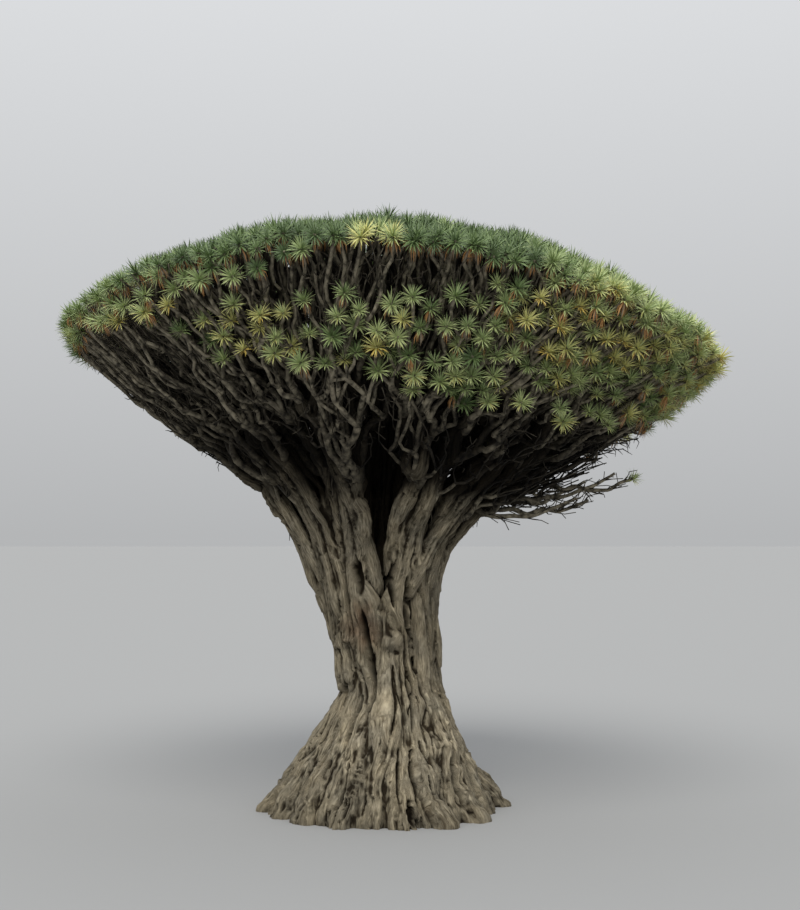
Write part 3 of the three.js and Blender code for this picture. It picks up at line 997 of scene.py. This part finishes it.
def set_attribute(mesh, name, values):
    kind, key = ("FLOAT_VECTOR", "vector") if values.ndim == 2 else ("FLOAT", "value")
    mesh.attributes.new(name, kind, "POINT").data.foreach_set(key, values.astype(np.float32).ravel())


def store_surface(mesh, lines):
    """Keeps what the bark's colours need. Hollow is over 0.45 in a furrow and under it on a ridge; it sets
    painted shade in furrows and a painted highlight on ridges, and inside sets painted shade deep in the
    tree.
    """
    p, n, edges = places_of(mesh), normals_of(mesh), edges_of(mesh)
    near = ((relaxed(p, edges, 4) - p) * n).sum(1)
    far = ((relaxed(p, edges, 30) - p) * n).sum(1)
    grain, _, rough = grain_places(p, lines)
    set_attribute(mesh, "hollow", np.clip(0.45 + 14 * near + 9 * far, 0, 1))
    set_attribute(mesh, "grain", grain)
    set_attribute(mesh, "rough", rough)
    # Inside is the depth for painted shade deep in the tree
    set_attribute(mesh, "inside", painted_shade_depth(p))
    decay = np.max([1 - np.linalg.norm((p - place) / size, axis=1) for *place, size in DECAYED], axis=0)
    set_attribute(mesh, "decay", np.clip(decay + 0.35 * noise(p, 0.2, 26), 0, 1))


def make_wood(wood):
    mesh = with_modifier(wood.mesh("wood"), "REMESH", mode="VOXEL", voxel_size=VOXEL)
    add_relief(mesh, wood.lines)
    mesh = with_modifier(mesh, "DECIMATE", ratio=min(1, WOOD_TRIANGLES / (2 * len(mesh.polygons))))
    store_surface(mesh, wood.lines)
    material = bark_material()
    boughs = ["bough_" + b.name for b in outer + inner]
    named = (("bark_trunk", ["trunk"]), ("bark_boughs", boughs), ("bark_limbs", boughs + crown_nodes()))
    for (name, nodes), low, high in zip(named, SPLIT_HEIGHTS, SPLIT_HEIGHTS[1:]):
        piece(name, part_between(mesh, low, high), material, nodes)


# Materials: the bark's painted highlight on ridges and painted shade in furrows, and its tone by height from
# the ground up to 10 m, partly its own and partly painted shade under the crown
PAINTED_RIDGE_HIGHLIGHT_FURROW_SHADE = ((0.18, (1.27, 1.27, 1.27, 1)), (0.44, (0.82, 0.82, 0.81, 1)), (0.88, (0.14, 0.12, 0.1, 1)))
PAINTED_SHADE_AND_TONE_BY_HEIGHT = ((0.0, 0.46), (0.2, 0.84), (0.38, 0.76), (0.53, 0.56), (0.72, 0.78), (0.88, 0.5), (1.0, 0.2))


def srgb(r, g, b):
    """A colour of 0 to 255 steps as Blender's linear colour."""
    c = np.array([r, g, b]) / 255
    c = np.where(c <= 0.04045, c / 12.92, ((c + 0.055) / 1.055) ** 2.4)
    return (*c.tolist(), 1.0)


class Nodes:
    """The shader nodes of a material or of the world."""

    def __init__(self, owner):
        owner.use_nodes = True
        self.owner, self.tree = owner, owner.node_tree

    def add(self, kind, **inputs):
        node = self.tree.nodes.new("ShaderNode" + kind)
        for name, value in inputs.items():
            self.put(node, name.replace("_", " "), value)
        return node

    def put(self, node, name, value):
        """Gives an input a value, or joins it to another node's output."""
        if isinstance(value, bpy.types.NodeSocket):
            self.tree.links.new(value, node.inputs[name])
        else:
            node.inputs[name].default_value = value

    def place(self, kind="Object"):
        return self.add("TexCoord").outputs[kind]

    def height(self, place):
        return self.add("SeparateXYZ", Vector=place).outputs["Z"]

    def attribute(self, name, output="Fac"):
        node = self.add("Attribute")
        node.attribute_name = name
        return node.outputs[output]

    def stretched(self, place, scale):
        return self.add("Mapping", Vector=place, Scale=(1, 1, scale)).outputs["Vector"]

    def noise(self, place, scale, detail=2.0, roughness=0.5):
        node = self.add("TexNoise", Vector=place, Scale=scale, Detail=detail, Roughness=roughness)
        return node.outputs["Fac"]

    def ramp(self, factor, *stops):
        """A colour ramp with stops of place and colour."""
        node = self.add("ValToRGB", Fac=factor)
        elements = node.color_ramp.elements
        while len(elements) < len(stops):
            elements.new(1)
        for element, (place, colour) in zip(elements, stops):
            element.position, element.color = place, colour
        return node.outputs["Color"]

    def mix(self, kind, factor, first, second):
        node = self.add("Mix")
        node.data_type, node.blend_type = "RGBA", kind
        for socket, value in ((0, factor), (6, first), (7, second)):
            self.put(node, socket, value)
        return node.outputs[2]

    def times(self, colour, shade):
        return self.mix("MULTIPLY", 1.0, colour, shade)

    def ranged(self, value, low, high, to_low=0.0, to_high=1.0):
        """A value moved from the range of low to high to another range."""
        node = self.add("MapRange", Value=value, From_Min=low, From_Max=high, To_Min=to_low, To_Max=to_high)
        return node.outputs["Result"]

    def painted_shade_inside(self, colour):
        """The colour with painted shade: much darker where it lies deep inside the tree's outline."""
        deep = self.ranged(self.attribute("inside"), 0.15, 1.1)
        return self.times(colour, self.ramp(deep, (0.0, (1, 1, 1, 1)), (1.0, (0.1, 0.09, 0.08, 1))))


class Material(Nodes):
    """A new material."""

    def __init__(self, name, roughness, specular=0.5):
        super().__init__(bpy.data.materials.new(name))
        self.shader = self.tree.nodes["Principled BSDF"]
        self.shader.inputs["Roughness"].default_value = roughness
        self.shader.inputs["Specular IOR Level"].default_value = specular

    def finish(self, colour, height, strength, distance):
        """Gives the shader its colour and its bump."""
        self.put(self.shader, "Base Color", colour)
        bump = self.add("Bump", Height=height, Strength=strength, Distance=distance)
        self.put(self.shader, "Normal", bump.outputs["Normal"])
        return self.owner


def bark_material():
    nodes = Material("bark", 0.9, 0.1)
    place, grain = nodes.place(), nodes.attribute("grain", "Vector")
    streaks = nodes.noise(nodes.stretched(grain, 0.2), 16.0, 8.0, 0.65)
    colour = nodes.ramp(streaks, (0.3, srgb(74, 68, 56)), (0.7, srgb(176, 168, 148)))
    bare = nodes.ramp(streaks, (0.3, srgb(76, 57, 44)), (0.7, srgb(148, 122, 99)))
    colour = nodes.mix("MIX", nodes.attribute("decay"), colour, bare)
    patches = nodes.noise(place, 1.3, 4.0)
    tint = nodes.ramp(patches, (0.35, (0.78, 0.77, 0.76, 1)), (0.65, (1.08, 1.03, 0.95, 1)))
    colour = nodes.times(colour, tint)
    # Painted shade in the furrows and a painted highlight on the ridges
    colour = nodes.times(colour, nodes.ramp(nodes.attribute("hollow"), *PAINTED_RIDGE_HIGHLIGHT_FURROW_SHADE))
    cracks = nodes.noise(nodes.stretched(grain, 0.07), 26.0, 6.0, 0.75)
    split = nodes.ramp(cracks, (0.37, (0.42, 0.39, 0.35, 1)), (0.5, (1.08, 1.08, 1.07, 1)))
    colour = nodes.mix("MULTIPLY", nodes.attribute("rough"), colour, split)
    # Greys by height: partly the bark's own tone and partly painted shade, darkest under the crown
    up = nodes.ranged(nodes.height(place), 0.0, 10.0)
    painted_height_shades = [(share, (grey, grey, grey, 1)) for share, grey in PAINTED_SHADE_AND_TONE_BY_HEIGHT]
    colour = nodes.times(colour, nodes.ramp(up, *painted_height_shades))
    # Painted shade deep inside the tree's outline
    return nodes.finish(nodes.painted_shade_inside(colour), cracks, 0.9, 0.035)


def branch_material(name, dark, pale):
    nodes = Material(name, 0.85, 0.2)
    patches = nodes.noise(nodes.place(), 6.0, 6.0)
    colour = nodes.ramp(patches, (0.34, srgb(*dark)), (0.66, srgb(*pale)))
    # Painted shade deep inside the tree's outline
    return nodes.finish(nodes.painted_shade_inside(colour), patches, 0.6, 0.02)


def leaf_material(name, colour):
    nodes = Material(name, 0.5)
    veins = nodes.noise(nodes.place(), 35.0)
    nodes.put(nodes.shader, "Roughness", nodes.ranged(veins, 0.0, 1.0, 0.38, 0.68))
    return nodes.finish(srgb(*colour), veins, 0.3, 0.01)


# Rosettes
LEAVES = 60
YOUNG_COSINE = 0.99
OLD_COSINE = -0.35
LEAF_HALF_WIDTH = 0.0155
DRY_LEAVES = 16
DRY_SHARE = 0.24
DRY_RIM_GAIN = 0.62
FRESH_SHARE = 0.6
GOLDEN_ANGLE = math.pi * (3 - math.sqrt(5))
# Each kind of leaf: the piece's name, its slot and its colour, from the deepest green to straw
LEAF_KINDS = (
    ("leaves_deep_green", "leaves_blue_green", (82, 102, 62)),
    ("leaves_blue_green", "leaves_blue_green", (104, 125, 76)),
    ("leaves_green", "leaves_green", (140, 157, 103)),
    ("leaves_light_green", "leaves_green", (174, 186, 128)),
    ("leaves_yellow_green", "leaves_yellow_green", (202, 200, 130)),
    ("leaves_straw", "leaves_yellow_green", (206, 182, 98)),
)
# Where rosettes are yellower and paler, partly their own tint and partly painted light: the middle, how far
# it reaches and by how many kinds
YELLOW_TINT_AND_PAINTED_LIGHT = (
    (-3.4, -6.6, 12.5, 2.4, 0.9),
    (-0.15, -7.8, 14.65, 0.85, 2.8),
    (-7.5, -4.0, 13.2, 2.2, 0.6),
    (8.4, -1.5, 12.2, 2.6, 0.9),
)
DRY_KINDS = (
    ("dry_leaves_orange", "leaves_dry", (166, 120, 68)),
    ("dry_leaves_grey", "leaves_dry", (118, 103, 82)),
)


class Blades:
    """Leaves of one kind, each a strip that tapers to its tip."""

    def __init__(self):
        self.points, self.count = [], 0

    def add(self, base, middle, tip, half):
        wide = 0.87 * half
        rows = np.stack([base - half, base + half, middle + wide, middle - wide, tip], axis=1)
        self.points.append(rows.reshape(-1, 3))
        self.count += len(base)

    def mesh(self, name):
        first = np.arange(self.count)[:, None] * 5
        return mesh_from(name, np.concatenate(self.points), first + np.arange(4), first + np.array([3, 2, 4]))


def square_to(axes):
    """Two directions square to each axis."""
    guess = np.where(np.abs(axes[:, :1]) < 0.8, [[1.0, 0, 0]], [[0, 1.0, 0]])
    side = unit(np.cross(axes, guess))
    return side, np.cross(axes, side)


def share_out(blades, kinds, *parts):
    """Gives each kind's blades the leaves of that kind."""
    for kind, own in enumerate(blades):
        own.add(*(part[kinds == kind] for part in parts))


def add_live_leaves(points, axes, sizes, classes, blades):
    """Fills blades with the leaves of all rosettes. Old leaves are a kind yellower than young ones."""
    count = len(points)
    side, other = square_to(axes)
    turn = rng.uniform(0, 2 * math.pi, count)
    for k in range(LEAVES):
        age = (k + rng.uniform(0, 1, count)) / LEAVES
        cosine = YOUNG_COSINE + (OLD_COSINE - YOUNG_COSINE) * age
        angle = turn + k * GOLDEN_ANGLE + rng.uniform(-0.2, 0.2, count)
        radial = turned(side, other, angle)
        way = axes * cosine[:, None] + radial * np.sqrt(1 - cosine**2)[:, None]
        length = LEAF_LENGTH * sizes * (0.82 + 0.27 * np.sin(math.pi * np.minimum(age + 0.15, 1)))
        length = (length * rng.uniform(0.82, 1.14, count))[:, None]
        base = points + radial * 0.03 - axes * (0.09 * age - 0.02)[:, None]
        middle = base + way * 0.55 * length
        droop = (0.04 + 0.32 * age * rng.uniform(0.5, 1.3, count))[:, None]
        tip = middle + unit(way - droop * [[0, 0, 1.0]]) * 0.45 * length
        half = unit(np.cross(axes, way) + jitter(count, 0.25)) * (LEAF_HALF_WIDTH * sizes)[:, None]
        kinds = np.round(classes + 1.1 * (age - 0.35) + rng.uniform(-0.3, 0.3, count))
        share_out(blades, np.clip(kinds, 0, len(blades) - 1), base, middle, tip, half)


def add_dry_leaves(points, axes, sizes, blades):
    """Dead leaves that hang along the stem under a rosette."""
    count = len(points)
    side, other = square_to(axes)
    for k in range(DRY_LEAVES):
        angle = k * GOLDEN_ANGLE + rng.uniform(-0.3, 0.3, count)
        radial = turned(side, other, angle)
        length = (LEAF_LENGTH * sizes * rng.uniform(0.75, 1.15, count))[:, None]
        way = unit(-0.75 * axes + rng.uniform(0.25, 0.6, count)[:, None] * radial - [[0, 0, 0.3]])
        base = points - axes * 0.1 + radial * 0.045
        middle = base + way * 0.5 * length
        tip = middle + unit(way - 0.35 * radial - [[0, 0, 0.5]]) * 0.5 * length
        half = unit(np.cross(axes, radial) + jitter(count, 0.3)) * LEAF_HALF_WIDTH
        share_out(blades, rng.uniform(0, 1, count) >= FRESH_SHARE, base, middle, tip, half)


def rosette_classes(points):
    """How yellow and pale each rosette is: 0 is the deepest green. Paler to the front and the right, partly
    the leaves' own tint and partly painted light.
    """
    right = smooth(points[:, 0], 1.0, 8.5)
    top = smooth(points[:, 2], 13.2, 14.6)
    front = smooth(-points[:, 1], 2, 6) * (1 - top)
    # Paler at the front and on the right: partly the leaves' own tint, partly painted light
    classes = 1.45 + 1.0 * right + 1.1 * front - 0.7 * top * (1 - right)
    classes = classes + 0.65 * rng.standard_normal(len(points)) + 0.55 * noise(points, 1.8, 50)
    for *place, size, gain in YELLOW_TINT_AND_PAINTED_LIGHT:
        classes = classes + gain * smooth(size - np.linalg.norm(points - place, axis=1), 0, 0.5 * size)
    return np.minimum(classes, 4.2)


def crown_nodes():
    return [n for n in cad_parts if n.startswith(("canopy_", "skirt_", "tuft_", "limb_"))]


def make_leaves(points, axes):
    sizes = rng.uniform(0.82, 1.18, len(points))
    live, dead = [Blades() for _ in LEAF_KINDS], [Blades() for _ in DRY_KINDS]
    add_live_leaves(points, axes, sizes, rosette_classes(points), live)
    x, y, _ = points.T
    share = np.hypot(x, y) / around(RIM_REACH, np.degrees(np.arctan2(y, x)))
    rim = smooth(share, 0.9, 0.94) * smooth(-y - 0.5 * x, 0, 3)
    skirted = rng.uniform(0, 1, len(points)) < DRY_SHARE + DRY_RIM_GAIN * rim
    add_dry_leaves(points[skirted], axes[skirted], sizes[skirted], dead)
    for blades, (name, slot, colour) in zip(live + dead, LEAF_KINDS + DRY_KINDS):
        piece(name, blades.mesh(name), leaf_material(name, colour), crown_nodes(), shade_smooth=False)


# Stage: metres, pixels, degrees, and millimetres for the sensor
CAMERA_DISTANCE = 42.0
CAMERA_HEIGHT = 7.69
CAMERA_RIGHT = 0.43
FOCAL_PIXELS = 1470
IMAGE_HEIGHT = 910
HORIZON_BELOW_MIDDLE = 80
SENSOR = 36.0
FLOOR_RADIUS = 1500.0
FLOOR_SIDES = 96
FLOOR_COLOUR = (0.303, 0.306, 0.306, 1)
SKY = ((0.0, (0.46, 0.468, 0.475, 1)), (0.75, (1.0, 1.02, 1.05, 1)))
SUN_ENERGY = 2.5
SUN_WIDTH = 40
SUN_COLOUR = (1.0, 0.98, 0.94)
SUN_TURN = (44, 0, -4)


def make_camera():
    data = bpy.data.cameras.new("camera")
    data.sensor_width = SENSOR
    data.lens = SENSOR * FOCAL_PIXELS / IMAGE_HEIGHT
    camera = placed("camera", data)
    camera.location = (CAMERA_RIGHT, -CAMERA_DISTANCE, CAMERA_HEIGHT)
    camera.rotation_euler = (math.pi / 2 + math.atan(HORIZON_BELOW_MIDDLE / FOCAL_PIXELS), 0, 0)
    bpy.context.scene.camera = camera


def make_floor():
    bearings = np.arange(FLOOR_SIDES) * 360 / FLOOR_SIDES
    mesh = mesh_from("floor", polar(FLOOR_RADIUS, bearings, 0.0), np.arange(FLOOR_SIDES)[None])
    nodes = Material("floor", 0.95)
    nodes.shader.inputs["Base Color"].default_value = FLOOR_COLOUR
    mesh.materials.append(nodes.owner)
    floor = placed("floor", mesh)


def make_light():
    world = bpy.data.worlds.new("studio")
    nodes = Nodes(world)
    sky = nodes.ramp(nodes.height(nodes.place("Generated")), *SKY)
    nodes.put(nodes.tree.nodes["Background"], "Color", sky)
    bpy.context.scene.world = world
    light = bpy.data.lights.new("sun", "SUN")
    light.energy = SUN_ENERGY
    light.angle = math.radians(SUN_WIDTH)
    light.color = SUN_COLOUR
    placed("sun", light).rotation_euler = [math.radians(turn) for turn in SUN_TURN]


def make_tree():
    wood = Tubes()
    growth = grow_crown(wood)
    add_cores(wood)
    add_stems(wood)
    add_roots(wood)
    add_crossing_stems(wood)
    add_loose_strands(wood)
    add_details(wood)
    add_low_limbs(growth)
    add_hanging_roots(growth)
    make_wood(wood)
    alive = branch_material("branch_bark", (48, 44, 36), (144, 136, 117))
    dead = branch_material("dead_twig_bark", (30, 27, 22), (86, 80, 68))
    kinds = (("branches", alive), ("twigs", alive), ("dead_twigs", dead))
    for (name, material), tubes in zip(kinds, (growth.branches, growth.twigs, growth.dead)):
        mesh = tubes.mesh(name)
        # The depth for painted shade inside the crown
        set_attribute(mesh, "inside", painted_shade_depth(places_of(mesh)))
        piece(name, mesh, material, crown_nodes())
    make_leaves(growth.points[growth.leafy], growth.axes[growth.leafy])


make_camera()
make_light()
make_floor()
make_tree()
bpy.context.scene.view_settings.view_transform = "Standard"
